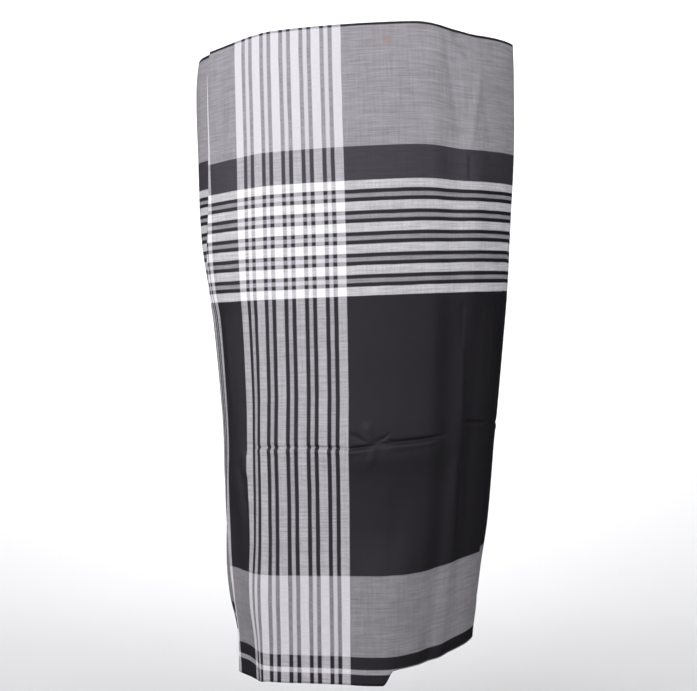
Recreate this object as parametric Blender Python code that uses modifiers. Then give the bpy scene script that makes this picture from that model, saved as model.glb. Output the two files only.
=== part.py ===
"""A worn longyi: one tube of checked cotton cloth, filled out as it hangs from a wearer's waist.

The cloth lies in two stretches that show. The under wrap goes all the way round, and its top
border is turned in at the waist. The front wrap lies over it, from a fold by the left side to a
fold by the right side, with both edges turned under.

Metres, +Z up, +X to the viewer's right, and the front faces -Y. The origin is the middle of the
waist opening, where the wearer holds the cloth up.
"""

import math
from collections import namedtuple

import bmesh
import bpy
from mathutils import Vector

COLLECTION = "worn_longyi"

# Cloth
WALL = 0.0012
VISIBLE_HEIGHT = 0.799
WAIST_BORDER = 0.034
TURN_RADIUS = 0.0015
RETURN_LIFT = 0.0027
OUTER_LIFT = RETURN_LIFT + 2 * TURN_RADIUS

# How the tube is hitched on the figure
TILT_AT_WAIST = 0.036
TILT_AT_HEM = 0.045
LEFT_DIP = 0.0115
LEFT_DIP_FROM = -0.100
LEFT_DIP_FULL = -0.190
RIGHT_DIP = 0.0135
RIGHT_DIP_FROM = 0.070
RIGHT_DIP_FULL = 0.150
DIPS_END = 0.30
PULL_UP = 0.009
PULL_UP_FROM = 0.075
PULL_UP_FULL = 0.155
PULL_UP_STARTS = 0.36
PULL_UP_EASE = 0.24
FRONT_STANDS_ABOVE = 0.002

# The hem of the front wrap is turned under: a little from its left corner on, and further to the
# right of a step near the middle
CORNER_FROM = -0.136
CORNER_FULL = -0.104
TURN_FROM = 0.032
TURN_FULL = 0.046
TURN_LEFT = 0.0075
TURN_RIGHT = 0.0180

# The under wrap is hitched higher than the front wrap, and its hem is turned under on the right
HITCH_MEAN = 0.028
HITCH_LEFT = 0.024
HITCH_FRONT = 0.004
UNDER_TURN = 0.026
UNDER_TURN_MIDDLE = 62
UNDER_TURN_REACH = 62
UNDER_TURN_EASE = 40

# The seam that closes the tube
SEAM_ANGLE = math.radians(152)
SEAM_WIDTH = 0.010
SEAM_THICKNESS = 0.0008
SEAM_GAP = 0.0007
SEAM_END_MARGIN = 0.003

# Mesh density
PANEL_COLUMNS = 24
RETURN_COLUMNS = 2
TURN_STEPS = 4
BACK_COLUMNS = 30
HEIGHT_ROWS = 26
WAIST_FLAP_ROWS = 2
SEAM_ROWS = 26

# Each row is a level cut through the figure of the cloth, below the waist. left and right are its
# reach from the middle, keel is where the front stands out furthest, front and back are its depths,
# and the last two columns are the angles of the front wrap's folded edges, from the keel.
Section = namedtuple("Section", "drop left right keel front back fold_left fold_right")
SECTIONS = (
    Section(-0.010, 0.199, 0.203, 0.047, 0.143, 0.104, -64.5, 69.0),
    Section(0.047, 0.207, 0.205, 0.047, 0.147, 0.114, -64.0, 69.0),
    Section(0.147, 0.205, 0.205, 0.047, 0.149, 0.127, -64.5, 69.0),
    Section(0.247, 0.201, 0.201, 0.046, 0.149, 0.130, -67.0, 66.5),
    Section(0.313, 0.191, 0.198, 0.045, 0.149, 0.127, -74.0, 60.5),
    Section(0.353, 0.181, 0.195, 0.044, 0.148, 0.124, -81.5, 59.0),
    Section(0.460, 0.170, 0.186, 0.041, 0.147, 0.118, -87.0, 58.5),
    Section(0.513, 0.167, 0.181, 0.040, 0.146, 0.115, -84.5, 59.0),
    Section(0.566, 0.168, 0.177, 0.038, 0.145, 0.112, -77.0, 59.0),
    Section(0.619, 0.169, 0.172, 0.036, 0.145, 0.110, -73.0, 59.5),
    Section(0.672, 0.169, 0.164, 0.034, 0.145, 0.109, -70.0, 61.5),
    Section(0.712, 0.165, 0.159, 0.033, 0.145, 0.108, -69.0, 65.5),
    Section(0.752, 0.156, 0.152, 0.032, 0.145, 0.108, -71.5, 69.0),
    Section(0.816, 0.150, 0.146, 0.030, 0.146, 0.108, -76.0, 74.0),
)

# Soft folds that run down the cloth: the angle at the top and bottom, half the width, how far the
# fold stands out or lies in, and where it starts and ends below the waist.
Fold = namedtuple("Fold", "top_angle bottom_angle half_width rise starts ends")
FOLDS = (
    Fold(24, 28, 9, -0.0030, -0.02, 0.60),
    Fold(40, 36, 8, 0.0025, -0.02, 0.74),
    Fold(-50, -54, 8, -0.0020, 0.30, 0.90),
    Fold(-45, -45, 24, 0.0070, 0.10, 0.85),
    Fold(-63, -63, 14, 0.0040, 0.20, 0.50),
    Fold(-46, -46, 18, 0.0060, 0.62, 0.86),
    Fold(-62, -62, 15, -0.0090, 0.54, 0.84),
    Fold(2, 2, 20, 0.0100, 0.60, 0.86),
    Fold(40, 38, 22, -0.0060, 0.55, 0.90),
    Fold(118, 112, 12, -0.0050, 0.12, 0.90),
    Fold(140, 136, 11, 0.0040, 0.20, 0.90),
    Fold(170, 166, 13, -0.0060, 0.26, 0.90),
    Fold(195, 198, 12, 0.0045, 0.16, 0.90),
    Fold(222, 228, 13, -0.0060, 0.22, 0.90),
    Fold(246, 250, 9, 0.0030, 0.30, 0.90),
)


def smooth_step(value):
    """Goes from 0 to 1 with level ends."""
    clamped = min(1.0, max(0.0, value))
    return clamped * clamped * (3 - 2 * clamped)


def section_at(drop):
    """The figure's section at any height, on a smooth curve through the rows of the table."""
    last = len(SECTIONS) - 1
    i = max(0, min(last - 1, sum(row.drop <= drop for row in SECTIONS) - 1))
    before, low = SECTIONS[max(0, i - 1)], SECTIONS[i]
    high, after = SECTIONS[i + 1], SECTIONS[min(last, i + 2)]
    span = high.drop - low.drop
    t = min(1.0, max(0.0, (drop - low.drop) / span))
    leaving = [(h - b) / (high.drop - before.drop) * span for h, b in zip(high, before)]
    arriving = [(a - l) / (after.drop - low.drop) * span for a, l in zip(after, low)]
    values = [
        (2 * t**3 - 3 * t**2 + 1) * l
        + (t**3 - 2 * t**2 + t) * out
        + (3 * t**2 - 2 * t**3) * h
        + (t**3 - t**2) * back
        for l, h, out, back in zip(low, high, leaving, arriving)
    ]
    return Section(*values)


def fold_height(angle, drop):
    """How far the soft folds move the cloth outwards at this place."""
    height = 0.0
    for fold in FOLDS:
        along = (drop - fold.starts) / (fold.ends - fold.starts)
        if not 0 < along:
            continue
        centre = fold.top_angle + (fold.bottom_angle - fold.top_angle) * min(1.0, along)
        away = (math.degrees(angle) - centre + 180) % 360 - 180
        across = abs(away) / fold.half_width
        if across < 1:
            height += fold.rise * smooth_step(1 - across) * smooth_step(along * 3)
    return height


def half_axes(angle, section):
    """The reach to this side and the depth to the front or the back, from the keel."""
    side = section.right - section.keel if math.sin(angle) > 0 else section.left + section.keel
    depth = section.front if math.cos(angle) > 0 else section.back
    return side, depth


def skin(angle, drop, lift):
    """A point of the cloth, lifted off the figure. The angle is 0 at the keel and grows to +X."""
    section = section_at(drop)
    side, depth = half_axes(angle, section)
    outward = Vector((depth * math.sin(angle), -side * math.cos(angle), 0)).normalized()
    on_figure = Vector(
        (section.keel + side * math.sin(angle), -depth * math.cos(angle), -drop)
    )
    return on_figure + outward * (lift + fold_height(angle, drop))


def level(x, down):
    """Height of the cloth that lies this far down from the waist edge, where it passes x."""
    tilt = TILT_AT_WAIST + (TILT_AT_HEM - TILT_AT_WAIST) * down / VISIBLE_HEIGHT
    dips = LEFT_DIP * smooth_step((LEFT_DIP_FROM - x) / (LEFT_DIP_FROM - LEFT_DIP_FULL))
    dips += RIGHT_DIP * smooth_step((x - RIGHT_DIP_FROM) / (RIGHT_DIP_FULL - RIGHT_DIP_FROM))
    near_waist = smooth_step(1 - down / DIPS_END)
    pull = PULL_UP * smooth_step((x - PULL_UP_FROM) / (PULL_UP_FULL - PULL_UP_FROM))
    near_hem = smooth_step((down - PULL_UP_STARTS) / PULL_UP_EASE)
    return tilt * x - down - dips * near_waist + pull * near_hem


def under_hitch(angle):
    """How much higher the under wrap's hem hangs than the front wrap's: most at the left side."""
    return HITCH_MEAN - HITCH_LEFT * math.sin(angle) - HITCH_FRONT * math.cos(angle)


def under_turn(angle):
    """How much of the under wrap's hem border is turned under: most at the right side."""
    away = (math.degrees(angle) - UNDER_TURN_MIDDLE + 180) % 360 - 180
    return UNDER_TURN * smooth_step((UNDER_TURN_REACH - abs(away)) / UNDER_TURN_EASE)


def turned_under(x):
    """How much of the front wrap's hem border is turned under where it passes x."""
    past_corner = smooth_step((x - CORNER_FROM) / (CORNER_FULL - CORNER_FROM))
    past_step = smooth_step((x - TURN_FROM) / (TURN_FULL - TURN_FROM))
    return TURN_LEFT * past_corner + TURN_RIGHT * past_step


def edge_angles(drop):
    """Angles of the front wrap's left and right folded edges at this height."""
    section = section_at(drop)
    return math.radians(section.fold_left), math.radians(section.fold_right)


def panel_angle(share, drop):
    """The angle at this share of the way from the left fold to the right fold."""
    left, right = edge_angles(drop)
    return left + (right - left) * share


# Stations of a wall across the garment: the share of the way between the folds, how far past the
# fold the cloth reaches, and its lift off the figure.
Station = namedtuple("Station", "share reach lift")


def turn(share):
    """The rounded fold at one side of the front wrap, from the outer layer to the turned-under one."""
    middle = (OUTER_LIFT + RETURN_LIFT) / 2
    stations = []
    for step in range(1, TURN_STEPS):
        bend = math.pi * step / TURN_STEPS
        reach = TURN_RADIUS * math.sin(bend)
        stations.append(Station(share, reach, middle + TURN_RADIUS * math.cos(bend)))
    return stations


def front_stations():
    """The whole path of the front wrap: turned-under edge, fold, panel, fold, turned-under edge."""
    pitch = 1 / PANEL_COLUMNS
    panel = [Station(i * pitch, 0, OUTER_LIFT) for i in range(PANEL_COLUMNS + 1)]
    under = [i * pitch for i in range(RETURN_COLUMNS + 1)]
    left = [Station(share, 0, RETURN_LIFT) for share in reversed(under)]
    right = [Station(1 - share, 0, RETURN_LIFT) for share in under]
    return left + turn(0)[::-1] + panel + turn(1) + right


def front_point(station, down_share):
    """A point of the front wrap at this station and this share of the way down."""
    drop = VISIBLE_HEIGHT * down_share
    for _ in range(2):
        angle = panel_angle(station.share, drop)
        side, depth = half_axes(angle, section_at(drop))
        pace = math.hypot(side * math.cos(angle), depth * math.sin(angle))
        angle += math.copysign(station.reach / pace, station.share - 0.5)
        x = skin(angle, drop, station.lift).x
        down = down_share * (VISIBLE_HEIGHT - turned_under(x))
        drop = -level(x, down) - FRONT_STANDS_ABOVE * (1 - down_share)
    return skin(angle, drop, station.lift)


def under_angle(column, drop):
    """The angle of a column of the under wrap, whose front columns follow the front wrap's."""
    if column <= PANEL_COLUMNS:
        return panel_angle(column / PANEL_COLUMNS, drop)
    left, right = edge_angles(drop)
    share = (column - PANEL_COLUMNS) / BACK_COLUMNS
    return right + (left + 2 * math.pi - right) * share


def under_point_at(angle_of, down_share, lift, rise=0.0):
    """A point of the under wrap at this share of the way down. angle_of gives its angle at a height."""
    drop = VISIBLE_HEIGHT * down_share
    for _ in range(2):
        angle = angle_of(drop)
        down = down_share * (VISIBLE_HEIGHT - under_turn(angle))
        hitch = under_hitch(angle) * down_share
        drop = -(level(skin(angle, drop, lift).x, down) + hitch)
    return skin(angle, drop - rise, lift)


# Rows of the under wrap, from the hem over the waist fold and down inside: the share of the way
# down, how far inside the outer face, and how far the fold rises above the edge.
Row = namedtuple("Row", "down_share inside rise")


def under_rows():
    """The rows of the under wrap, from its hem to the end of the turned-in border."""
    rows = [Row(1 - i / HEIGHT_ROWS, 0, 0) for i in range(HEIGHT_ROWS + 1)]
    for step in range(1, TURN_STEPS):
        bend = math.pi * step / TURN_STEPS
        inside = TURN_RADIUS * (1 - math.cos(bend))
        rows.append(Row(0, inside, TURN_RADIUS * math.sin(bend)))
    border_share = WAIST_BORDER / VISIBLE_HEIGHT
    for i in range(WAIST_FLAP_ROWS + 1):
        rows.append(Row(border_share * i / WAIST_FLAP_ROWS, 2 * TURN_RADIUS, 0))
    return rows


def cloth_material(name, colour):
    """Plain woven cotton."""
    material = bpy.data.materials.new(name)
    material.use_nodes = True
    shader = material.node_tree.nodes["Principled BSDF"]
    shader.inputs["Base Color"].default_value = (*colour, 1)
    shader.inputs["Roughness"].default_value = 0.9
    shader.inputs["Metallic"].default_value = 0.0
    return material


def sheet_object(name, columns, rows, place, material, collection, closed=False):
    """A cloth wall: a flat grid laid over the figure by place(column, row), then given its thickness."""
    mesh_builder = bmesh.new()
    bmesh.ops.create_grid(mesh_builder, x_segments=columns, y_segments=rows, size=0.5)
    for vertex in mesh_builder.verts:
        column = round((vertex.co.x + 0.5) * columns)
        row = round((vertex.co.y + 0.5) * rows)
        vertex.co = place(column, row)
    if closed:
        bmesh.ops.remove_doubles(mesh_builder, verts=mesh_builder.verts, dist=0.00001)
    bmesh.ops.recalc_face_normals(mesh_builder, faces=mesh_builder.faces)
    mesh = bpy.data.meshes.new(name)
    mesh_builder.to_mesh(mesh)
    mesh_builder.free()
    mesh.shade_smooth()
    mesh.materials.append(material)
    cloth = bpy.data.objects.new(name, mesh)
    collection.objects.link(cloth)
    wall = cloth.modifiers.new("wall", "SOLIDIFY")
    wall.thickness = WALL
    wall.offset = 0.0
    return cloth


def make_front_wrap(collection, material):
    """The stretch in front, with both edges turned under."""
    stations = front_stations()

    def place(column, row):
        return front_point(stations[column], 1 - row / HEIGHT_ROWS)

    return sheet_object(
        "front_wrap", len(stations) - 1, HEIGHT_ROWS, place, material, collection
    )


def make_under_wrap(collection, material):
    """The stretch that goes all the way round, with its border turned in at the waist."""
    rows = under_rows()

    def place(column, row):
        line = rows[row]

        def angle_of(drop):
            return under_angle(column, drop)

        return under_point_at(angle_of, line.down_share, -line.inside, line.rise)

    columns = PANEL_COLUMNS + BACK_COLUMNS
    return sheet_object(
        "under_wrap", columns, len(rows) - 1, place, material, collection, closed=True
    )


def make_tube_seam(collection, material):
    """The flat-felled seam that closes the tube, raised on the back of the under wrap."""
    lift = WALL / 2 + SEAM_GAP + SEAM_THICKNESS / 2
    margin = SEAM_END_MARGIN / VISIBLE_HEIGHT

    def place(column, row):
        down_share = 1 - margin - (1 - 2 * margin) * row / SEAM_ROWS
        across = SEAM_WIDTH * (column / 2 - 0.5)

        def angle_of(drop):
            side, depth = half_axes(SEAM_ANGLE, section_at(drop))
            pace = math.hypot(side * math.cos(SEAM_ANGLE), depth * math.sin(SEAM_ANGLE))
            return SEAM_ANGLE + across / pace

        return under_point_at(angle_of, down_share, lift)

    seam = sheet_object("tube_seam", 2, SEAM_ROWS, place, material, collection)
    seam.modifiers["wall"].thickness = SEAM_THICKNESS
    return seam


def main():
    for stale in list(bpy.data.objects):
        bpy.data.objects.remove(stale, do_unlink=True)
    collection = bpy.data.collections.new(COLLECTION)
    bpy.context.scene.collection.children.link(collection)
    charcoal = cloth_material("charcoal_cotton", (0.040, 0.039, 0.046))
    grey = cloth_material("grey_cotton", (0.300, 0.298, 0.310))
    make_under_wrap(collection, charcoal)
    make_front_wrap(collection, grey)
    make_tube_seam(collection, charcoal)


main()
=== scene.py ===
# %% [markdown]
# # A worn longyi
# A longyi is one long rectangle of checked cotton whose ends are sewn together into a tube. The
# wearer steps into it, holds it up at the waist and folds the spare width over the front. The
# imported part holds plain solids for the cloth. This lesson dresses them with thin cloth, its
# creases, its woven checks and its sewing, and lights the result like a studio photograph.

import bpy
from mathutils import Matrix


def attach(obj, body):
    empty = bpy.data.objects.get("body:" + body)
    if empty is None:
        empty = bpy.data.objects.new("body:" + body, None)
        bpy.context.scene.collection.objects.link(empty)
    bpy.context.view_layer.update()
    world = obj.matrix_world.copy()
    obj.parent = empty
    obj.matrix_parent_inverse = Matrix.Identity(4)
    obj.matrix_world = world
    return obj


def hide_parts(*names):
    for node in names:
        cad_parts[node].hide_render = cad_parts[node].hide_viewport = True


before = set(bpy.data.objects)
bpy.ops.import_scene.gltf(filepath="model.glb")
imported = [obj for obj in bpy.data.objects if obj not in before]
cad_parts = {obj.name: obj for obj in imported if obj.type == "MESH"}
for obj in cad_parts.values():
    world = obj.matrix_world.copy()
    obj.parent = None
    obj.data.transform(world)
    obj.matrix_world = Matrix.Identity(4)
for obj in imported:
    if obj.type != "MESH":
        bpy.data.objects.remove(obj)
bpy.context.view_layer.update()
print("solids:", sorted(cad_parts))

# %% [markdown]
# ## Camera
# Cloth photographed this near shows perspective: level stripes arch up above the eye line and sag
# below it. How much they bend gives the camera's distance, and the stripe that stays straight gives
# its height. The camera comes first.

# %% Camera
import math
from collections import namedtuple

import bmesh
import bpy
import numpy as np
from mathutils import Matrix, Vector

PHOTO_WIDTH = 697
PHOTO_HEIGHT = 691
METRES_PER_PIXEL = 0.001314
CAMERA_DISTANCE = 1.69
EYE_LEVEL = -0.346
EYE_LEVEL_PIXEL = 315.0
GARMENT_MIDDLE_PIXEL = 355.5
SENSOR_WIDTH = 36.0

camera_data = bpy.data.cameras.new("camera")
camera_data.sensor_width = SENSOR_WIDTH
camera_data.lens = SENSOR_WIDTH * CAMERA_DISTANCE / (PHOTO_WIDTH * METRES_PER_PIXEL)
camera = bpy.data.objects.new("camera", camera_data)
bpy.context.scene.collection.objects.link(camera)
camera_side = (PHOTO_WIDTH / 2 - GARMENT_MIDDLE_PIXEL) * METRES_PER_PIXEL
look_down = math.atan((PHOTO_HEIGHT / 2 - EYE_LEVEL_PIXEL) * METRES_PER_PIXEL / CAMERA_DISTANCE)
camera.location = (camera_side, -CAMERA_DISTANCE, EYE_LEVEL)
camera.rotation_euler = (math.pi / 2 - look_down, 0, 0)
bpy.context.scene.camera = camera
print("lens:", round(camera_data.lens, 1), "mm")

# %% [markdown]
# ## The figure of the cloth
# The worn tube is round in front, flatter behind, wide at the hips and narrow at the hem. A maker
# of display figures would cut a board for each height, so the form is a table with one level
# section in each row. A smooth curve through the rows gives every height between them.

# %% The table of sections
Section = namedtuple("Section", "drop left right keel front back fold_left fold_right")
SECTIONS = (
    Section(-0.010, 0.199, 0.203, 0.047, 0.143, 0.104, -64.5, 69.0),
    Section(0.047, 0.207, 0.205, 0.047, 0.147, 0.114, -64.0, 69.0),
    Section(0.147, 0.205, 0.205, 0.047, 0.149, 0.127, -64.5, 69.0),
    Section(0.247, 0.201, 0.201, 0.046, 0.149, 0.130, -67.0, 66.5),
    Section(0.313, 0.191, 0.198, 0.045, 0.149, 0.127, -74.0, 60.5),
    Section(0.353, 0.181, 0.195, 0.044, 0.148, 0.124, -81.5, 59.0),
    Section(0.460, 0.170, 0.186, 0.041, 0.147, 0.118, -87.0, 58.5),
    Section(0.513, 0.167, 0.181, 0.040, 0.146, 0.115, -84.5, 59.0),
    Section(0.566, 0.168, 0.177, 0.038, 0.145, 0.112, -77.0, 59.0),
    Section(0.619, 0.169, 0.172, 0.036, 0.145, 0.110, -73.0, 59.5),
    Section(0.672, 0.169, 0.164, 0.034, 0.145, 0.109, -70.0, 61.5),
    Section(0.712, 0.165, 0.159, 0.033, 0.145, 0.108, -69.0, 65.5),
    Section(0.752, 0.156, 0.152, 0.032, 0.145, 0.108, -71.5, 69.0),
    Section(0.816, 0.150, 0.146, 0.030, 0.146, 0.108, -76.0, 74.0),
)


def smooth_step(value):
    """Goes from 0 to 1 with level ends."""
    clamped = np.clip(value, 0.0, 1.0)
    return clamped * clamped * (3 - 2 * clamped)


def section_at(drop):
    """The section at each height, on a smooth curve through the rows of the table."""
    rows = np.array(SECTIONS)
    last = len(rows) - 1
    i = np.clip(np.searchsorted(rows[:, 0], drop, side="right") - 1, 0, last - 1)
    before, low = rows[np.maximum(i - 1, 0)], rows[i]
    high, after = rows[i + 1], rows[np.minimum(i + 2, last)]
    span = high[..., :1] - low[..., :1]
    t = np.clip((drop[..., None] - low[..., :1]) / span, 0.0, 1.0)
    leaving = (high - before) / (high[..., :1] - before[..., :1]) * span
    arriving = (after - low) / (after[..., :1] - low[..., :1]) * span
    values = (
        (2 * t**3 - 3 * t**2 + 1) * low
        + (t**3 - 2 * t**2 + t) * leaving
        + (3 * t**2 - 2 * t**3) * high
        + (t**3 - t**2) * arriving
    )
    return Section(*np.moveaxis(values, -1, 0))


print("sections:", len(SECTIONS))

# %% [markdown]
# ## Soft folds
# Heavy cloth that hangs from the hips falls in long soft folds. Each row of this table is one of
# them: where it runs, how wide it is and how far it stands out. They are uneven, and the
# solids have the same ones.

# %% The table of folds
FOLD_FADES_IN = 3
Fold = namedtuple("Fold", "top_angle bottom_angle half_width rise starts ends")
FOLDS = (
    Fold(24, 28, 9, -0.0030, -0.02, 0.60),
    Fold(40, 36, 8, 0.0025, -0.02, 0.74),
    Fold(-50, -54, 8, -0.0020, 0.30, 0.90),
    Fold(-45, -45, 24, 0.0070, 0.10, 0.85),
    Fold(-63, -63, 14, 0.0040, 0.20, 0.50),
    Fold(-46, -46, 18, 0.0060, 0.62, 0.86),
    Fold(-62, -62, 15, -0.0090, 0.54, 0.84),
    Fold(2, 2, 20, 0.0100, 0.60, 0.86),
    Fold(40, 38, 22, -0.0060, 0.55, 0.90),
    Fold(118, 112, 12, -0.0050, 0.12, 0.90),
    Fold(140, 136, 11, 0.0040, 0.20, 0.90),
    Fold(170, 166, 13, -0.0060, 0.26, 0.90),
    Fold(195, 198, 12, 0.0045, 0.16, 0.90),
    Fold(222, 228, 13, -0.0060, 0.22, 0.90),
    Fold(246, 250, 9, 0.0030, 0.30, 0.90),
)


def degrees_apart(angle, centre):
    """The signed difference of two angles in degrees, the short way round."""
    return (angle - centre + 180) % 360 - 180


def fold_height(angle, drop):
    """How far the soft folds move the cloth outwards at each place."""
    height = np.zeros_like(drop)
    for fold in FOLDS:
        along = (drop - fold.starts) / (fold.ends - fold.starts)
        turned = fold.bottom_angle - fold.top_angle
        centre = fold.top_angle + turned * np.clip(along, 0.0, 1.0)
        across = np.abs(degrees_apart(np.degrees(angle), centre)) / fold.half_width
        height += fold.rise * smooth_step(1 - across) * smooth_step(along * FOLD_FADES_IN)
    return height


def half_axes(angle, section):
    """The reach to this side and the depth to the front or the back, from the keel."""
    right_side = np.sin(angle) > 0
    side = np.where(right_side, section.right - section.keel, section.left + section.keel)
    depth = np.where(np.cos(angle) > 0, section.front, section.back)
    return side, depth


def pace(angle, section):
    """How far the cloth runs for each radian of angle."""
    side, depth = half_axes(angle, section)
    return np.hypot(side * np.cos(angle), depth * np.sin(angle))


def skin(angle, drop, lift):
    """Points of the cloth, lifted off the figure. The angle is 0 at the keel and grows to +X."""
    section = section_at(drop)
    side, depth = half_axes(angle, section)
    outward_x, outward_y = depth * np.sin(angle), -side * np.cos(angle)
    reach = (lift + fold_height(angle, drop)) / np.hypot(outward_x, outward_y)
    return np.stack(
        (
            section.keel + side * np.sin(angle) + outward_x * reach,
            -depth * np.cos(angle) + outward_y * reach,
            -drop,
        ),
        axis=-1,
    )


print("folds:", len(FOLDS))

# %% [markdown]
# ## How the tube is hitched
# The cloth isn't pulled up level. It is higher towards the right, the waist dips at both sides,
# the right side is pulled up a little more below the knee, and the wrap beneath is hitched higher
# than the one in front. A woven stripe keeps its distance from the top edge, so these tilts are
# what make the stripes slope.

# %% Hitching
VISIBLE_HEIGHT = 0.799
TILT_AT_WAIST = 0.036
TILT_AT_HEM = 0.045
LEFT_DIP = 0.0115
LEFT_DIP_FROM = -0.100
LEFT_DIP_FULL = -0.190
RIGHT_DIP = 0.0135
RIGHT_DIP_FROM = 0.070
RIGHT_DIP_FULL = 0.150
DIPS_END = 0.30
PULL_UP = 0.009
PULL_UP_FROM = 0.075
PULL_UP_FULL = 0.155
PULL_UP_STARTS = 0.36
PULL_UP_EASE = 0.24
FRONT_STANDS_ABOVE = 0.002
HITCH_MEAN = 0.028
HITCH_LEFT = 0.024
HITCH_FRONT = 0.004


def level(x, down):
    """Height of the cloth that lies this far down from the waist edge, where it passes x."""
    tilt = TILT_AT_WAIST + (TILT_AT_HEM - TILT_AT_WAIST) * down / VISIBLE_HEIGHT
    dips = LEFT_DIP * smooth_step((LEFT_DIP_FROM - x) / (LEFT_DIP_FROM - LEFT_DIP_FULL))
    dips += RIGHT_DIP * smooth_step((x - RIGHT_DIP_FROM) / (RIGHT_DIP_FULL - RIGHT_DIP_FROM))
    near_waist = smooth_step(1 - down / DIPS_END)
    pull = PULL_UP * smooth_step((x - PULL_UP_FROM) / (PULL_UP_FULL - PULL_UP_FROM))
    near_hem = smooth_step((down - PULL_UP_STARTS) / PULL_UP_EASE)
    return tilt * x - down - dips * near_waist + pull * near_hem


def under_hitch(angle):
    """How much higher the under wrap's hem hangs than the front wrap's: most at the left side."""
    return HITCH_MEAN - HITCH_LEFT * np.sin(angle) - HITCH_FRONT * np.cos(angle)


print("the cloth hangs", VISIBLE_HEIGHT, "m and tilts by", TILT_AT_WAIST, "to", TILT_AT_HEM)

# %% [markdown]
# Right of a step near the middle, the hem border is turned under, so only its first dark band
# shows there. Left of the step a much narrower strip is turned under, up to the left corner.
# Shortening the cloth that shows is enough, because the turned-under strip is hidden behind it.

# %% Turned-under hem
CORNER_FROM = -0.136
CORNER_FULL = -0.104
TURN_FROM = 0.032
TURN_FULL = 0.046
TURN_LEFT = 0.0075
TURN_RIGHT = 0.0180
UNDER_TURN = 0.026
UNDER_TURN_MIDDLE = 62
UNDER_TURN_REACH = 62
UNDER_TURN_EASE = 40


def turned_under(x):
    """How much of the front wrap's hem border is turned under where it passes x."""
    past_corner = smooth_step((x - CORNER_FROM) / (CORNER_FULL - CORNER_FROM))
    past_step = smooth_step((x - TURN_FROM) / (TURN_FULL - TURN_FROM))
    return TURN_LEFT * past_corner + TURN_RIGHT * past_step


def under_turn(angle):
    """How much of the under wrap's hem border is turned under: most at the right side."""
    away = np.abs(degrees_apart(np.degrees(angle), UNDER_TURN_MIDDLE))
    return UNDER_TURN * smooth_step((UNDER_TURN_REACH - away) / UNDER_TURN_EASE)


print("hem turned under by", TURN_LEFT, "m, and right of the step by", TURN_LEFT + TURN_RIGHT, "m")

# %% [markdown]
# ## Creases
# New cotton keeps the sharp creases of the packet it was sold in, and it wrinkles where it is
# handled. A crease is a short soft trough or ridge at a place on the flat cut, so it follows the
# cloth wherever the cloth goes. The table gives each one its own length, width and depth.

# %% The creases of the front wrap
CREASE_FADES_OUT = 1.5
Crease = namedtuple("Crease", "across down turn length width rise")
FRONT_CREASES = (
    # The packing crease that crosses the wrap: a sharp trough, its lip and a soft swell below
    Crease(-0.092, 0.5040, -1, 0.042, 0.0020, -0.0019),
    Crease(-0.090, 0.5092, -1, 0.040, 0.0036, 0.0009),
    Crease(-0.028, 0.5052, 3, 0.036, 0.0021, -0.0040),
    Crease(-0.022, 0.5100, 3, 0.034, 0.0036, 0.0014),
    Crease(0.014, 0.5060, -6, 0.020, 0.0022, -0.0038),
    Crease(0.014, 0.5104, -6, 0.020, 0.0034, 0.0009),
    Crease(0.079, 0.5002, -3, 0.052, 0.0023, -0.0046),
    Crease(0.079, 0.5050, -3, 0.050, 0.0032, 0.0015),
    Crease(0.060, 0.5180, -3, 0.100, 0.0150, 0.0018),
    Crease(0.176, 0.4900, 9, 0.026, 0.0022, -0.0026),
    Crease(0.174, 0.4950, 9, 0.024, 0.0040, 0.0010),
    # The cloth leans a little out to that crease and back in below it
    Crease(0.020, 0.5030, -1, 0.220, 0.0480, 0.0034),
    # The small star of wrinkles beside the striped band
    Crease(0.0245, 0.4915, 78, 0.018, 0.0034, 0.0027),
    Crease(0.0285, 0.5155, 98, 0.015, 0.0032, 0.0021),
    Crease(0.0130, 0.4955, 36, 0.016, 0.0026, -0.0018),
    Crease(0.0400, 0.4965, -24, 0.014, 0.0026, -0.0015),
    # The fold by the right side that starts at the waist
    Crease(0.112, 0.0900, 90, 0.100, 0.0130, 0.0016),
    Crease(0.139, 0.0760, 82, 0.090, 0.0085, -0.0040),
    Crease(0.168, 0.0920, 99, 0.075, 0.0055, 0.0022),
    Crease(0.149, 0.0170, 47, 0.024, 0.0044, -0.0046),
    Crease(0.158, 0.1680, 90, 0.024, 0.0024, -0.0018),
    Crease(0.153, 0.1680, 90, 0.024, 0.0032, 0.0011),
    Crease(0.190, 0.1150, 84, 0.050, 0.0070, -0.0014),
    Crease(-0.163, 0.0700, 88, 0.052, 0.0060, -0.0018),
    Crease(-0.150, 0.1200, 92, 0.040, 0.0080, 0.0014),
    # Long soft folds on the plain dark cloth
    Crease(0.150, 0.4250, 90, 0.090, 0.0050, 0.0009),
    Crease(0.149, 0.3620, 90, 0.036, 0.0030, -0.0013),
    Crease(0.204, 0.4000, 91, 0.064, 0.0050, 0.0012),
    Crease(0.104, 0.4300, 92, 0.110, 0.0170, 0.0012),
    Crease(0.158, 0.4600, 90, 0.200, 0.0240, -0.0055),
    Crease(0.141, 0.5580, 94, 0.052, 0.0060, 0.0012),
    Crease(0.151, 0.6000, 90, 0.052, 0.0050, -0.0010),
    Crease(0.062, 0.6100, 96, 0.080, 0.0130, -0.0012),
    Crease(-0.172, 0.4000, 88, 0.070, 0.0060, 0.0012),
    Crease(-0.144, 0.5270, 90, 0.021, 0.0070, 0.0026),
    Crease(-0.150, 0.5600, 84, 0.040, 0.0050, -0.0016),
    # The sway of the hem
    Crease(-0.085, 0.7400, 94, 0.050, 0.0120, -0.0012),
    Crease(0.012, 0.7550, 88, 0.050, 0.0110, 0.0010),
    Crease(0.110, 0.7300, 92, 0.060, 0.0130, -0.0009),
    Crease(0.150, 0.7200, 88, 0.060, 0.0120, 0.0007),
)


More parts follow.
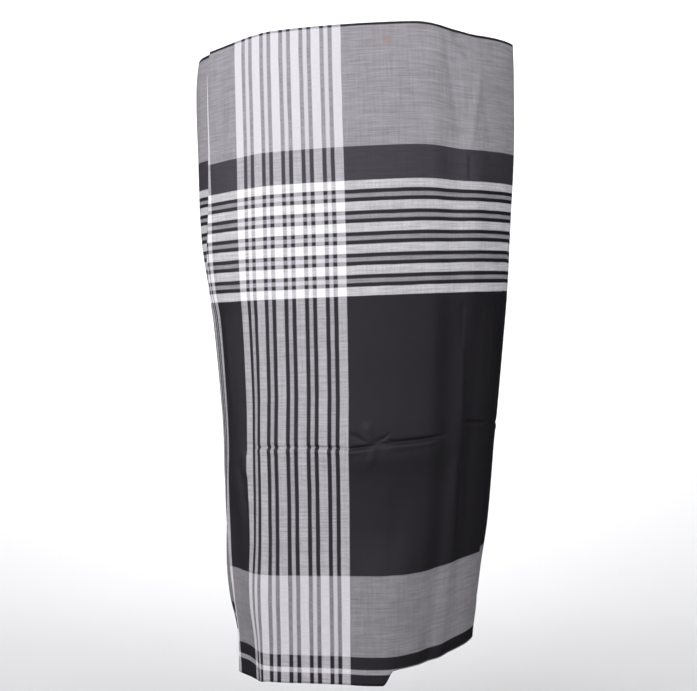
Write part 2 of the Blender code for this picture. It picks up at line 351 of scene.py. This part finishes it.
def crease_height(creases, across, down):
    """How far the creases move the cloth outwards, at places on the flat cut."""
    height = np.zeros_like(across)
    for crease in creases:
        turn = math.radians(crease.turn)
        right, below = across - crease.across, down - crease.down
        along = (right * math.cos(turn) + below * math.sin(turn)) / crease.length
        beside = (below * math.cos(turn) - right * math.sin(turn)) / crease.width
        fade = smooth_step(CREASE_FADES_OUT * (1 - np.abs(along)))
        height += crease.rise * np.exp(-(beside**2)) * fade
    return height


print("front creases:", len(FRONT_CREASES))

# %% [markdown]
# The under wrap shows at the sides and the back. It has the same packing crease at the same height,
# the crease down the middle of the back where the cloth was folded in half, and slanting drapes
# that fall from the hips.

# %% The creases of the under wrap
BACK_CREASES = (
    # The packing crease, in uneven stretches: a trough and its lip
    Crease(0.806, 0.5010, 1, 0.040, 0.0030, -0.0012),
    Crease(0.808, 0.5064, 1, 0.036, 0.0042, 0.0008),
    Crease(0.905, 0.5040, -2, 0.056, 0.0030, -0.0040),
    Crease(0.908, 0.5096, -2, 0.050, 0.0042, 0.0017),
    Crease(1.030, 0.5000, 2, 0.050, 0.0030, -0.0028),
    Crease(1.034, 0.5054, 2, 0.046, 0.0042, 0.0011),
    Crease(1.140, 0.5030, -1, 0.048, 0.0032, -0.0036),
    Crease(1.138, 0.5088, -1, 0.044, 0.0042, 0.0015),
    # The wrinkles where it meets the crease down the back
    Crease(1.004, 0.4900, 76, 0.020, 0.0050, 0.0022),
    Crease(1.016, 0.5140, 100, 0.018, 0.0050, 0.0018),
    # The crease down the back
    Crease(1.010, 0.2000, 91, 0.130, 0.0060, -0.0024),
    Crease(1.013, 0.4100, 89, 0.090, 0.0060, -0.0018),
    Crease(1.009, 0.6500, 90, 0.110, 0.0060, -0.0022),
    # Drapes that slant from the hips
    Crease(0.880, 0.1200, 66, 0.080, 0.0120, -0.0026),
    Crease(0.920, 0.2200, 72, 0.110, 0.0140, 0.0024),
    Crease(1.160, 0.1300, 112, 0.080, 0.0120, -0.0024),
    Crease(1.120, 0.2300, 106, 0.100, 0.0130, 0.0020),
    Crease(0.980, 0.0900, 84, 0.070, 0.0090, -0.0016),
    Crease(1.060, 0.0700, 97, 0.060, 0.0080, 0.0015),
    # Folds that run out at the hem
    Crease(0.880, 0.6600, 87, 0.120, 0.0120, -0.0026),
    Crease(0.960, 0.6900, 93, 0.100, 0.0110, 0.0022),
    Crease(1.070, 0.6700, 90, 0.110, 0.0130, -0.0024),
    Crease(1.150, 0.6500, 88, 0.110, 0.0110, 0.0018),
)
print("back creases:", len(BACK_CREASES))

# %% [markdown]
# ## Laying a flat cut over the figure
# The cloth starts as what it is, a flat grid. Its columns and rows are moved to their places on the
# figure, while its UV map keeps the place on the flat cut in metres, so the woven pattern is laid
# out as on a loom. A tube is closed by welding its ends, and Solidify gives the thin wall.

# %% Cloth helpers
CLOTH_THICKNESS = 0.0007
CREASED_DOWN = 0.500
CREASED_REACH = 0.016
CREASED_DENSITY = 3.0
SAMPLES_PER_ROW = 10
WELD_DISTANCE = 0.00001


def creased_rows(count):
    """Shares of the way down, closer together where the packing crease crosses."""
    down = np.linspace(0, VISIBLE_HEIGHT, SAMPLES_PER_ROW * count)
    density = 1 + CREASED_DENSITY * np.exp(-(((down - CREASED_DOWN) / CREASED_REACH) ** 2))
    filled = np.cumsum(density) - density[0]
    even = np.linspace(0, filled[-1], count + 1)
    return np.interp(even, filled, down) / VISIBLE_HEIGHT


def flat_places(mesh_builder, columns, rows):
    """The column and the row of each vertex of a fresh grid."""
    corners = np.array([vertex.co[:2] for vertex in mesh_builder.verts]) + 0.5
    return np.rint(corners[:, 0] * columns).astype(int), np.rint(corners[:, 1] * rows).astype(int)


def lay_cloth(name, places, across, down, thickness=CLOTH_THICKNESS, closed=False):
    """A thin cloth through places[row, column], with its flat position in metres as its UV map."""
    rows, columns = (count - 1 for count in across.shape)
    mesh_builder = bmesh.new()
    bmesh.ops.create_grid(mesh_builder, x_segments=columns, y_segments=rows, size=0.5)
    column, row = flat_places(mesh_builder, columns, rows)
    flat = mesh_builder.loops.layers.uv.new("flat_cut")
    for i, vertex in enumerate(mesh_builder.verts):
        vertex.co = places[row[i], column[i]]
        for loop in vertex.link_loops:
            loop[flat].uv = (across[row[i], column[i]], down[row[i], column[i]])
    if closed:
        bmesh.ops.remove_doubles(mesh_builder, verts=mesh_builder.verts, dist=WELD_DISTANCE)
    bmesh.ops.recalc_face_normals(mesh_builder, faces=mesh_builder.faces)
    mesh = bpy.data.meshes.new(name)
    mesh_builder.to_mesh(mesh)
    mesh_builder.free()
    mesh.shade_smooth()
    cloth = bpy.data.objects.new(name, mesh)
    bpy.context.scene.collection.objects.link(cloth)
    wall = cloth.modifiers.new("wall", "SOLIDIFY")
    wall.thickness = thickness
    wall.offset = 0.0
    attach(cloth, "root")
    print(name, "has", columns, "columns and", rows, "rows")
    return cloth


def outward_of(places):
    """The direction out of the cloth at each place, from its level run."""
    run = np.gradient(places, axis=1)
    outward = np.stack((run[..., 1], -run[..., 0], np.zeros(run.shape[:2])), axis=-1)
    return outward / np.linalg.norm(outward, axis=-1, keepdims=True)


def run_along_rows(places):
    """How far the cloth has run along its row at each place."""
    steps = np.linalg.norm(np.diff(places, axis=1), axis=-1)
    return np.concatenate((np.zeros((len(places), 1)), np.cumsum(steps, axis=1)), axis=1)


print("the cloth's wall is", CLOTH_THICKNESS, "m thick")

# %% [markdown]
# ## The front wrap
# This is the stretch that the photograph shows. Both of its side edges are folds: the cloth turns
# back under itself in a small round bend. It could be two layers with a rim, but one continuous
# path through turned-under edge, bend, panel, bend and turned-under edge is what the cloth does.

# %% The path across the front wrap
TURN_RADIUS = 0.0015
RETURN_LIFT = 0.0027
OUTER_LIFT = RETURN_LIFT + 2 * TURN_RADIUS
FRONT_COLUMNS = 160
FRONT_RETURN_COLUMNS = 8
RETURN_SHARE = 1 / 12
TURN_STEPS = 8
FRONT_ROWS = 240


def front_path():
    """Share of the way between the folds, reach past the fold, and lift, for every column."""
    panel = np.linspace(0, 1, FRONT_COLUMNS + 1)
    under = np.linspace(0, RETURN_SHARE, FRONT_RETURN_COLUMNS + 1)
    bend = np.pi * np.arange(1, TURN_STEPS) / TURN_STEPS
    bend_reach = TURN_RADIUS * np.sin(bend)
    bend_lift = (OUTER_LIFT + RETURN_LIFT) / 2 + TURN_RADIUS * np.cos(bend)
    share = (under[::-1], 0 * bend, panel, 0 * bend + 1, 1 - under)
    reach = (0 * under, -bend_reach[::-1], 0 * panel, bend_reach, 0 * under)
    lift = (
        0 * under + RETURN_LIFT,
        bend_lift[::-1],
        0 * panel + OUTER_LIFT,
        bend_lift,
        0 * under + RETURN_LIFT,
    )
    return np.concatenate(share), np.concatenate(reach), np.concatenate(lift)


def front_places(down_shares):
    """Places of the front wrap, and how far down its cloth each of them lies."""
    share, reach, lift = (np.tile(line, (len(down_shares), 1)) for line in front_path())
    down_share = np.tile(down_shares[:, None], (1, share.shape[1]))
    drop = VISIBLE_HEIGHT * down_share
    for _ in range(2):
        section = section_at(drop)
        left, right = np.radians(section.fold_left), np.radians(section.fold_right)
        angle = left + (right - left) * share
        angle += reach / pace(angle, section)
        x = skin(angle, drop, lift)[..., 0]
        down = down_share * (VISIBLE_HEIGHT - turned_under(x))
        drop = -level(x, down) - FRONT_STANDS_ABOVE * (1 - down_share)
    return skin(angle, drop, lift), down


# %% [markdown]
# The right edge of the striped band hangs almost plumb, a little left of the middle. It is the zero
# of the flat cut's width, so the cloth's run to either side of it gives each place on the cut.

# %% Build the front wrap
BAND_EDGE_DOWN = (0.0, 0.040, 0.256, 0.328, 0.448, 0.640, 0.799)
BAND_EDGE_X = (-0.0190, -0.0182, -0.0122, -0.0110, -0.0088, -0.0076, -0.0062)
FLAT_AT_FOLDS = 1 / 20

places, front_down = front_places(creased_rows(FRONT_ROWS)[::-1])
run = run_along_rows(places)
turns = TURN_STEPS - 1 + FRONT_RETURN_COLUMNS + 1
panel_columns = slice(turns, -turns)
edge_x = np.interp(front_down[:, turns], BAND_EDGE_DOWN, BAND_EDGE_X)
panel_x, panel_run = places[:, panel_columns, 0], run[:, panel_columns]
edge_run = [np.interp(x, line, at) for x, line, at in zip(edge_x, panel_x, panel_run)]
front_across = run - np.array(edge_run)[:, None]
on_panel = np.zeros(run.shape)
on_panel[:, panel_columns] = 1
heights = crease_height(FRONT_CREASES, front_across, front_down)
share_from_fold = front_path()[0]
edge_ease = smooth_step(np.minimum(share_from_fold, 1 - share_from_fold) / FLAT_AT_FOLDS)
places = places + outward_of(places) * (heights * on_panel * edge_ease)[..., None]
front_wrap = lay_cloth("front_wrap_cloth", places, front_across, front_down)
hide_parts("front_wrap")
waist_run = panel_run[-1]
print("front panel width at the waist:", round(float(waist_run[-1] - waist_run[0]), 3), "m")

# %% [markdown]
# ## The under wrap
# The under wrap is a closed tube. At the waist its woven border is turned in, so its rows go from
# the hem up to the waist edge, over a small round bend and down inside. Its creases fade out before
# they pass under the front wrap, so that the two cloths never touch.

# %% Build the under wrap
WAIST_BORDER = 0.034
UNDER_COLUMNS = 280
UNDER_ROWS = 146
FLAP_ROWS = 8
UNDER_STARTS_AT = 0.30
CREASES_BEGIN = 0.40
CREASES_BEGIN_EASE = 12
CREASES_END = 0.985
CREASES_END_EASE = 25


def under_places(angle_of, down_share, inside, rise):
    """Places of the under wrap. angle_of gives the angles at the heights it is asked for."""
    drop = VISIBLE_HEIGHT * down_share
    for _ in range(2):
        angle = angle_of(drop)
        down = down_share * (VISIBLE_HEIGHT - under_turn(angle))
        hitch = under_hitch(angle) * down_share
        drop = -(level(skin(angle, drop, -inside)[..., 0], down) + hitch)
    return skin(angle, drop - rise, -inside), down


def under_rows():
    """Share of the way down, distance inside and rise of every row, from hem to flap."""
    outside = creased_rows(UNDER_ROWS)[::-1]
    bend = np.pi * np.arange(1, TURN_STEPS) / TURN_STEPS
    flap = np.linspace(0, WAIST_BORDER / VISIBLE_HEIGHT, FLAP_ROWS + 1)
    down_share = np.concatenate((outside, 0 * bend, flap))
    bend_inside = TURN_RADIUS * (1 - np.cos(bend))
    inside = np.concatenate((0 * outside, bend_inside, 0 * flap + 2 * TURN_RADIUS))
    rise = np.concatenate((0 * outside, TURN_RADIUS * np.sin(bend), 0 * flap))
    return down_share, inside, rise


share_round = np.linspace(0, 1, UNDER_COLUMNS + 1)
down_share, inside, rise = (
    np.tile(line[:, None], (1, UNDER_COLUMNS + 1)) for line in under_rows()
)


def round_the_figure(drop):
    """Once round the figure, starting and ending at the front wrap's left fold."""
    left = np.radians(section_at(drop).fold_left)
    return left + 2 * np.pi * share_round


places, under_down = under_places(round_the_figure, down_share, inside, rise)
flap = slice(UNDER_ROWS + TURN_STEPS, None)
under_down[flap] = -under_down[flap]
middle_run = run_along_rows(places)[UNDER_ROWS // 2]
under_across = np.tile(middle_run + UNDER_STARTS_AT, (len(places), 1))
heights = crease_height(BACK_CREASES, under_across, np.abs(under_down))
past_beginning = (share_round - CREASES_BEGIN) * CREASES_BEGIN_EASE
before_end = (CREASES_END - share_round) * CREASES_END_EASE
clear_of_front = smooth_step(np.minimum(past_beginning, before_end))
places = places + outward_of(places) * (heights * clear_of_front)[..., None]
places[:, -1] = places[:, 0]
under_wrap = lay_cloth("under_wrap_cloth", places, under_across, under_down, closed=True)
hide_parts("under_wrap")

# %% [markdown]
# ## The seam that closes the tube
# The two ends of the cut are joined with a flat-felled seam: one edge is wrapped over the other
# and sewn down twice. It shows as a narrow raised strip at the back, with two rows of stitches. The
# strip has to rise and sink with the creases of the cloth that it is sewn to.

# %% The seam strip
SEAM_ANGLE = math.radians(152)
SEAM_WIDTH = 0.010
SEAM_THICKNESS = 0.0008
SEAM_LIFT = 0.0014
SEAM_END_MARGIN = 0.003
SEAM_COLUMNS = 6
SEAM_ROWS = 180
SEAM_ALONG_TUBE = 0.5


def seam_places(across, down_share, lift):
    """Places on the seam, which runs down the back of the under wrap."""

    def along_the_seam(drop):
        seam_angle = np.full(drop.shape, SEAM_ANGLE)
        return seam_angle + across / pace(seam_angle, section_at(drop))

    on_figure, down = under_places(along_the_seam, down_share, 0 * across - lift, 0 * across)
    drop = -on_figure[..., 2]
    angle = along_the_seam(drop)
    share = (angle - np.radians(section_at(drop).fold_left)) / (2 * np.pi)
    heights = crease_height(BACK_CREASES, np.interp(share, share_round, under_across[0]), down)
    outward = skin(angle, drop, 1.0) - skin(angle, drop, 0.0)
    return on_figure + outward * heights[..., None], down


margin = SEAM_END_MARGIN / VISIBLE_HEIGHT
seam_across, seam_share = np.meshgrid(
    np.linspace(-SEAM_WIDTH / 2, SEAM_WIDTH / 2, SEAM_COLUMNS + 1),
    np.linspace(1 - margin, margin, SEAM_ROWS + 1),
)
places, seam_down = seam_places(seam_across, seam_share, SEAM_LIFT)
seam_on_cut = seam_across + UNDER_STARTS_AT + SEAM_ALONG_TUBE
tube_seam = lay_cloth("tube_seam_cloth", places, seam_on_cut, seam_down, SEAM_THICKNESS)
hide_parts("tube_seam")

# %% [markdown]
# Each stitch is a short thread that dips into the cloth at both ends. A small sphere, stretched and
# laid along the seam, is enough at this size. All of them are joined into one mesh.

# %% The stitches
STITCH_LENGTH = 0.0027
STITCH_PITCH = 0.0033
STITCH_THICKNESS = 0.00045
STITCH_ROW_OFFSETS = (-0.0036, 0.0036)
STITCH_SIDES = 6
STITCH_RINGS = 4

stitch_builder = bmesh.new()
stitch_shares = np.arange(margin * 2, 1 - margin * 2, STITCH_PITCH / VISIBLE_HEIGHT)
stitch_lift = SEAM_LIFT + SEAM_THICKNESS / 2
for offset in STITCH_ROW_OFFSETS:
    line = np.full(stitch_shares.shape, offset)
    middles, _ = seam_places(line, stitch_shares, stitch_lift)
    directions = np.gradient(middles, axis=0)
    for middle, direction in zip(middles, directions):
        stretch = Matrix.Diagonal((STITCH_THICKNESS, STITCH_THICKNESS, STITCH_LENGTH, 1))
        turn = Vector(direction).to_track_quat("Z", "Y").to_matrix().to_4x4()
        bmesh.ops.create_uvsphere(
            stitch_builder,
            u_segments=STITCH_SIDES,
            v_segments=STITCH_RINGS,
            radius=0.5,
            matrix=Matrix.Translation(middle) @ turn @ stretch,
        )
stitch_mesh = bpy.data.meshes.new("seam_stitches")
stitch_builder.to_mesh(stitch_mesh)
stitch_builder.free()
stitch_mesh.shade_smooth()
stitches = bpy.data.objects.new("seam_stitches", stitch_mesh)
bpy.context.scene.collection.objects.link(stitches)
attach(stitches, "root")
print("stitches:", len(stitch_shares) * len(STITCH_ROW_OFFSETS))

# %% [markdown]
# ## Writing shader maths
# A woven check is arithmetic: distances to stripes, steps and mixes. Wiring those nodes by hand
# hides the idea, so a small class wraps a socket and lets Python's operators add the Math nodes.

# %% Sockets as values
class Value:
    """The output of a node, for use in sums."""

    def __init__(self, tree, output):
        self.tree = tree
        self.output = output

    def node(self, kind, settings, inputs, output=0):
        """Any node of this tree: its settings are set first, then its sockets."""
        made = self.tree.nodes.new(kind)
        for name, setting in settings.items():
            setattr(made, name, setting)
        for key, value in inputs.items():
            if isinstance(value, Value):
                self.tree.links.new(value.output, made.inputs[key])
            else:
                made.inputs[key].default_value = value
        return Value(self.tree, made.outputs[output])

    def math(self, operation, *values):
        return self.node("ShaderNodeMath", {"operation": operation}, dict(enumerate(values)))

    def __add__(self, other):
        return self.math("ADD", self, other)

    __radd__ = __add__

    def __sub__(self, other):
        return self.math("SUBTRACT", self, other)

    def __rsub__(self, other):
        return self.math("SUBTRACT", other, self)

    def __mul__(self, other):
        return self.math("MULTIPLY", self, other)

    __rmul__ = __mul__

    def __truediv__(self, other):
        return self.math("DIVIDE", self, other)

    def __mod__(self, other):
        return self.math("FLOORED_MODULO", self, other)

    def __abs__(self):
        return self.math("ABSOLUTE", self)

    def sine(self):
        return self.math("SINE", self)

    def clamped(self):
        return self.node("ShaderNodeClamp", {}, {"Value": self})

    def vector(self, y, z):
        return self.node("ShaderNodeCombineXYZ", {}, {"X": self, "Y": y, "Z": z})

    def noise(self, detail=2.0):
        """Soft noise from 0 to 1 at this vector."""
        inputs = {"Vector": self, "Scale": 1.0, "Detail": detail}
        return self.node("ShaderNodeTexNoise", {}, inputs)

    def colours(self, dark, light):
        """A colour between two others, by this value."""
        factor_and_colours = {0: self, 6: dark, 7: light}
        return self.node("ShaderNodeMix", {"data_type": "RGBA"}, factor_and_colours, 2)


print("operators ready")

# %% [markdown]
# ## The woven check
# On the loom the warp and the weft each have their own order of colours, and each crossing shows
# half of both. So the check isn't painted: one run of stripes is worked out across the cut, another
# down it, and the weave mixes the two. White over white shines, white over black turns silver.

# %% Yarns and stripes
BLACK_YARN = (0.0098, 0.0090, 0.0120, 1)
CHARCOAL_YARN = (0.057, 0.053, 0.069, 1)
WHITE_WARP = (0.68, 0.665, 0.71, 1)
WHITE_WEFT = (0.90, 0.89, 0.93, 1)
GREY_WEFT = (0.500, 0.490, 0.525, 1)
LOW_GREY_WEFT = (0.37, 0.36, 0.39, 1)
LINE_WEFT = (0.48, 0.47, 0.51, 1)
LINE_WARP = (0.58, 0.56, 0.62, 1)

WEFT_PERIOD = 0.0254
WARP_PERIOD = 0.0260
WHITE_STRIPE = 0.0108
THIN_STRIPE = 0.0050
STRIPE_GROUPS = 5
WARP_SET = STRIPE_GROUPS * WARP_PERIOD + WHITE_STRIPE
PLAIN_GAP = 0.049
EDGE_SOFTNESS = 0.0010


def band(place, first, last, softness=EDGE_SOFTNESS):
    """1 between two places and 0 outside them, with soft edges."""
    middle, half = (first + last) / 2, (last - first) / 2
    return ((half - abs(place - middle)) / softness + 0.5).clamped()


def stripe_set(place, first, period):
    """The white stripes and the thin lines of one set, which starts at this place."""
    along = (place - (first + WHITE_STRIPE / 2) + period / 2) % period
    from_white = abs(along - period / 2)
    inside = band(place, first, first + STRIPE_GROUPS * period + WHITE_STRIPE)
    white = ((WHITE_STRIPE / 2 - from_white) / EDGE_SOFTNESS + 0.5).clamped()
    thin = ((THIN_STRIPE / 2 - period / 2 + from_white) / EDGE_SOFTNESS + 0.5).clamped()
    return white * inside, thin * inside


print("one set of warp stripes is", round(WARP_SET, 4), "m wide")

# %% [markdown]
# The weft order below lists the bands down the cloth. The wide grey bands are black warp crossed by
# grey weft. Hand-spun weft is uneven, and its thick places show as fine streaks along the rows, so
# the mix of warp and weft wavers with noise that is stretched along the yarn. One faint warm mark,
# as from a drop of tea, lies on the grey just below the waist.

# %% The order of colours
WeftBand = namedtuple("WeftBand", "first last colour")
WEFT_BANDS = (
    WeftBand(-0.0188, -0.0128, LINE_WEFT),
    WeftBand(0.0030, 0.1466, GREY_WEFT),
    WeftBand(0.1466, 0.1868, CHARCOAL_YARN),
    WeftBand(0.6602, 0.7572, LOW_GREY_WEFT),
    WeftBand(0.7722, 0.7782, LINE_WEFT),
)
WEFT_SET_FROM = 0.1868
WARP_SETS_FROM = (-WARP_SET, -2 * WARP_SET - PLAIN_GAP)
MARK_COLOUR = (0.27, 0.13, 0.075, 1)
MARK_ACROSS = 0.0550
MARK_DOWN = 0.0205
MARK_RADIUS = 0.0075
MARK_SHOWS = 0.38
THREAD_WAVES = 2 * math.pi / 0.0008
THREAD_SHOWS = 0.22
SLUB_SHOWS = 0.31
WOBBLE = 0.0007


def weft_colour(down):
    """The colour of the weft at each place down the cut."""
    colour = BLACK_YARN
    for row in WEFT_BANDS:
        colour = band(down, row.first, row.last).colours(colour, row.colour)
    white, thin = stripe_set(down, WEFT_SET_FROM, WEFT_PERIOD)
    return white.colours(thin.colours(colour, LINE_WEFT), WHITE_WEFT)


def warp_colour(across):
    """The colour of the warp at each place across the cut."""
    colour = BLACK_YARN
    for first in WARP_SETS_FROM:
        white, thin = stripe_set(across, first, WARP_PERIOD)
        colour = white.colours(thin.colours(colour, LINE_WARP), WHITE_WARP)
    return colour


def mark(across, down):
    """1 in the middle of the faint warm mark below the waist, fading to 0 at its rim."""
    right, below = across - MARK_ACROSS, down - MARK_DOWN
    return (1 - (right * right + below * below) / MARK_RADIUS**2).clamped()


print("weft bands:", len(WEFT_BANDS))

# %% [markdown]
# ## The cotton
# Cotton is matt with a faint bloom where its fibres stand up. Sheen gives that bloom, and the bump
# follows the same threads and slubs as the colour, so both catch the light together. New black
# cotton also has a soft gloss from its finish, which is what makes its creases show.

# %% The cotton material
Unevenness = namedtuple("Unevenness", "across down seed detail")
WEFT_SLUB = Unevenness(44, 440, 3.7, 2.0)
WEFT_STREAK = Unevenness(11, 700, 9.1, 1.0)
WARP_SLUB = Unevenness(420, 26, 5.3, 2.0)
WAVERING = Unevenness(30, 30, 1.4, 2.0)
WARP_SLUB_WEIGHT = 0.7
SLUB_MIDDLE = 0.65


def uneven(yarn, across, down):
    """Noise from 0 to 1 that is this fine across and down the cut."""
    place = (across * yarn.across).vector(down * yarn.down, yarn.seed)
    return place.noise(yarn.detail)


def checked_cotton(name):
    """Plain-woven cotton with the woven check, laid out by the flat cut's UV map."""
    material = bpy.data.materials.new(name)
    material.use_nodes = True
    tree = material.node_tree
    shader = tree.nodes["Principled BSDF"]
    flat = Value(tree, None).node("ShaderNodeUVMap", {"uv_map": "flat_cut"}, {})
    across = flat.node("ShaderNodeSeparateXYZ", {}, {"Vector": flat}, 0)
    down = flat.node("ShaderNodeSeparateXYZ", {}, {"Vector": flat}, 1)
    weft_slub, weft_streak, warp_slub, wavering = (
        uneven(yarn, across, down) for yarn in (WEFT_SLUB, WEFT_STREAK, WARP_SLUB, WAVERING)
    )
    threads = (across * THREAD_WAVES).sine() * (down * THREAD_WAVES).sine()
    weft_place = down + (wavering - 0.5) * WOBBLE + (weft_slub - 0.5) * WOBBLE
    warp_place = across + (wavering - 0.5) * WOBBLE + (warp_slub - 0.5) * WOBBLE
    unevenness = weft_slub + weft_streak - warp_slub * WARP_SLUB_WEIGHT - SLUB_MIDDLE
    slubs = unevenness * SLUB_SHOWS
    weft_share = (0.5 + slubs + threads * THREAD_SHOWS).clamped()
    woven = weft_share.colours(warp_colour(warp_place), weft_colour(weft_place))
    colour = (mark(across, down) * MARK_SHOWS).colours(woven, MARK_COLOUR)
    height = threads * 0.35 + (weft_slub + warp_slub + weft_streak) * 0.5
    relief = {"Strength": 0.25, "Distance": 0.0004, "Height": height}
    normal = flat.node("ShaderNodeBump", {}, relief)
    tree.links.new(colour.output, shader.inputs["Base Color"])
    tree.links.new((0.56 + wavering * 0.12).output, shader.inputs["Roughness"])
    tree.links.new(normal.output, shader.inputs["Normal"])
    shader.inputs["Specular IOR Level"].default_value = 0.68
    shader.inputs["Specular Tint"].default_value = (0.96, 0.89, 1.0, 1)
    shader.inputs["Sheen Weight"].default_value = 0.01
    shader.inputs["Sheen Roughness"].default_value = 0.5
    print(name, "uses", len(tree.nodes), "nodes")
    return material


cotton = checked_cotton("checked_cotton")
for cloth in (front_wrap, under_wrap, tube_seam):
    cloth.data.materials.append(cotton)

# %% [markdown]
# The sewing thread is black cotton with two plies. A wave along the object's height stands in for
# the twist, far too fine to model.

# %% The sewing thread
PLY_WAVES = 9000
PLY_SHADOW = (0.020, 0.019, 0.023, 1)
PLY_LIGHT = (0.050, 0.048, 0.056, 1)


def sewing_thread(name):
    """Black twisted thread."""
    material = bpy.data.materials.new(name)
    material.use_nodes = True
    tree = material.node_tree
    shader = tree.nodes["Principled BSDF"]
    place = Value(tree, None).node("ShaderNodeTexCoord", {}, {}, 3)
    height = place.node("ShaderNodeSeparateXYZ", {}, {"Vector": place}, 2)
    twist = (height * PLY_WAVES).sine() * 0.5 + 0.5
    colour = twist.colours(PLY_SHADOW, PLY_LIGHT)
    relief = {"Strength": 0.4, "Distance": 0.0001, "Height": twist}
    normal = place.node("ShaderNodeBump", {}, relief)
    tree.links.new(colour.output, shader.inputs["Base Color"])
    tree.links.new(normal.output, shader.inputs["Normal"])
    shader.inputs["Roughness"].default_value = 0.6
    print(name, "uses", len(tree.nodes), "nodes")
    return material


stitch_mesh.materials.append(sewing_thread("black_thread"))

# %% [markdown]
# ## The cuts
# The cut of what shows is an upright rectangle for the front wrap, with its two turned-under edges,
# and the whole way round for the tube.

# %% [markdown]
# ## Studio
# A pale floor that curves up into the backdrop gives a soft ground with no horizon: white behind
# the garment and a little grey towards the bottom of the picture.

# %% Floor and backdrop
FLOOR_HEIGHT = -1.00
FLOOR_FRONT = -4.0
WALL_DISTANCE = 1.9
SWEEP_RADIUS = 1.0
WALL_TOP = 3.2
STUDIO_HALF_WIDTH = 5.0
SWEEP_STEPS = 16

stage_builder = bmesh.new()
profile = [Vector((-STUDIO_HALF_WIDTH, FLOOR_FRONT, FLOOR_HEIGHT))]
for step in range(SWEEP_STEPS + 1):
    bend = math.pi / 2 * step / SWEEP_STEPS
    y = WALL_DISTANCE - SWEEP_RADIUS * (1 - math.sin(bend))
    z = FLOOR_HEIGHT + SWEEP_RADIUS * (1 - math.cos(bend))
    profile.append(Vector((-STUDIO_HALF_WIDTH, y, z)))
profile.append(Vector((-STUDIO_HALF_WIDTH, WALL_DISTANCE, WALL_TOP)))
corners = [stage_builder.verts.new(point) for point in profile]
edges = [stage_builder.edges.new(pair) for pair in zip(corners, corners[1:])]
extruded = bmesh.ops.extrude_edge_only(stage_builder, edges=edges)["geom"]
moved = [part for part in extruded if isinstance(part, bmesh.types.BMVert)]
bmesh.ops.translate(stage_builder, verts=moved, vec=(2 * STUDIO_HALF_WIDTH, 0, 0))
bmesh.ops.recalc_face_normals(stage_builder, faces=stage_builder.faces)
stage_mesh = bpy.data.meshes.new("backdrop")
stage_builder.to_mesh(stage_mesh)
stage_builder.free()
stage_mesh.shade_smooth()
backdrop = bpy.data.objects.new("backdrop", stage_mesh)
bpy.context.scene.collection.objects.link(backdrop)
paper = bpy.data.materials.new("studio_paper")
paper.use_nodes = True
paper_shader = paper.node_tree.nodes["Principled BSDF"]
paper_shader.inputs["Base Color"].default_value = (0.60, 0.60, 0.61, 1)
paper_shader.inputs["Roughness"].default_value = 0.95
stage_mesh.materials.append(paper)
print("backdrop faces:", len(stage_mesh.polygons))

# %% [markdown]
# ## Light
# A white dome gives most of the light, so the check stays even all round. A large lamp at the upper
# left models the folds, a low one far to the left puts the gloss on the black cloth, a weak one on
# the right keeps the folds open, and the last washes the paper. The dome and the paper are kept out
# of the reflections, as a polarising film would do, or black cloth would turn grey.

# %% Lamps
Lamp = namedtuple("Lamp", "name place aim size spread power")
LAMPS = (
    Lamp("key", (-1.3, -2.5, 1.0), (0.0, 0.0, -0.25), 1.4, 170, 29),
    Lamp("side", (-2.8, -0.9, 0.2), (0.0, 0.0, -0.35), 1.4, 120, 10),
    Lamp("fill", (1.6, -2.6, 0.6), (0.0, 0.0, -0.30), 1.4, 170, 14),
    Lamp("backdrop_wash", (0.0, 0.3, 1.7), (0.0, 1.9, 0.3), 2.2, 84, 30),
)
for lamp in LAMPS:
    light = bpy.data.lights.new(lamp.name, "AREA")
    light.size = lamp.size
    light.spread = math.radians(lamp.spread)
    light.energy = lamp.power
    holder = bpy.data.objects.new(lamp.name, light)
    bpy.context.scene.collection.objects.link(holder)
    holder.location = lamp.place
    beam = Vector(lamp.aim) - Vector(lamp.place)
    holder.rotation_euler = beam.to_track_quat("-Z", "Y").to_euler()
bpy.context.scene.view_settings.view_transform = "Standard"
world = bpy.data.worlds.new("studio")
bpy.context.scene.world = world
world.use_nodes = True
world.node_tree.nodes["Background"].inputs["Color"].default_value = (1.0, 1.0, 1.0, 1)
world.node_tree.nodes["Background"].inputs["Strength"].default_value = 0.86
world.cycles_visibility.glossy = False
backdrop.visible_glossy = False
print("lamps:", len(LAMPS))
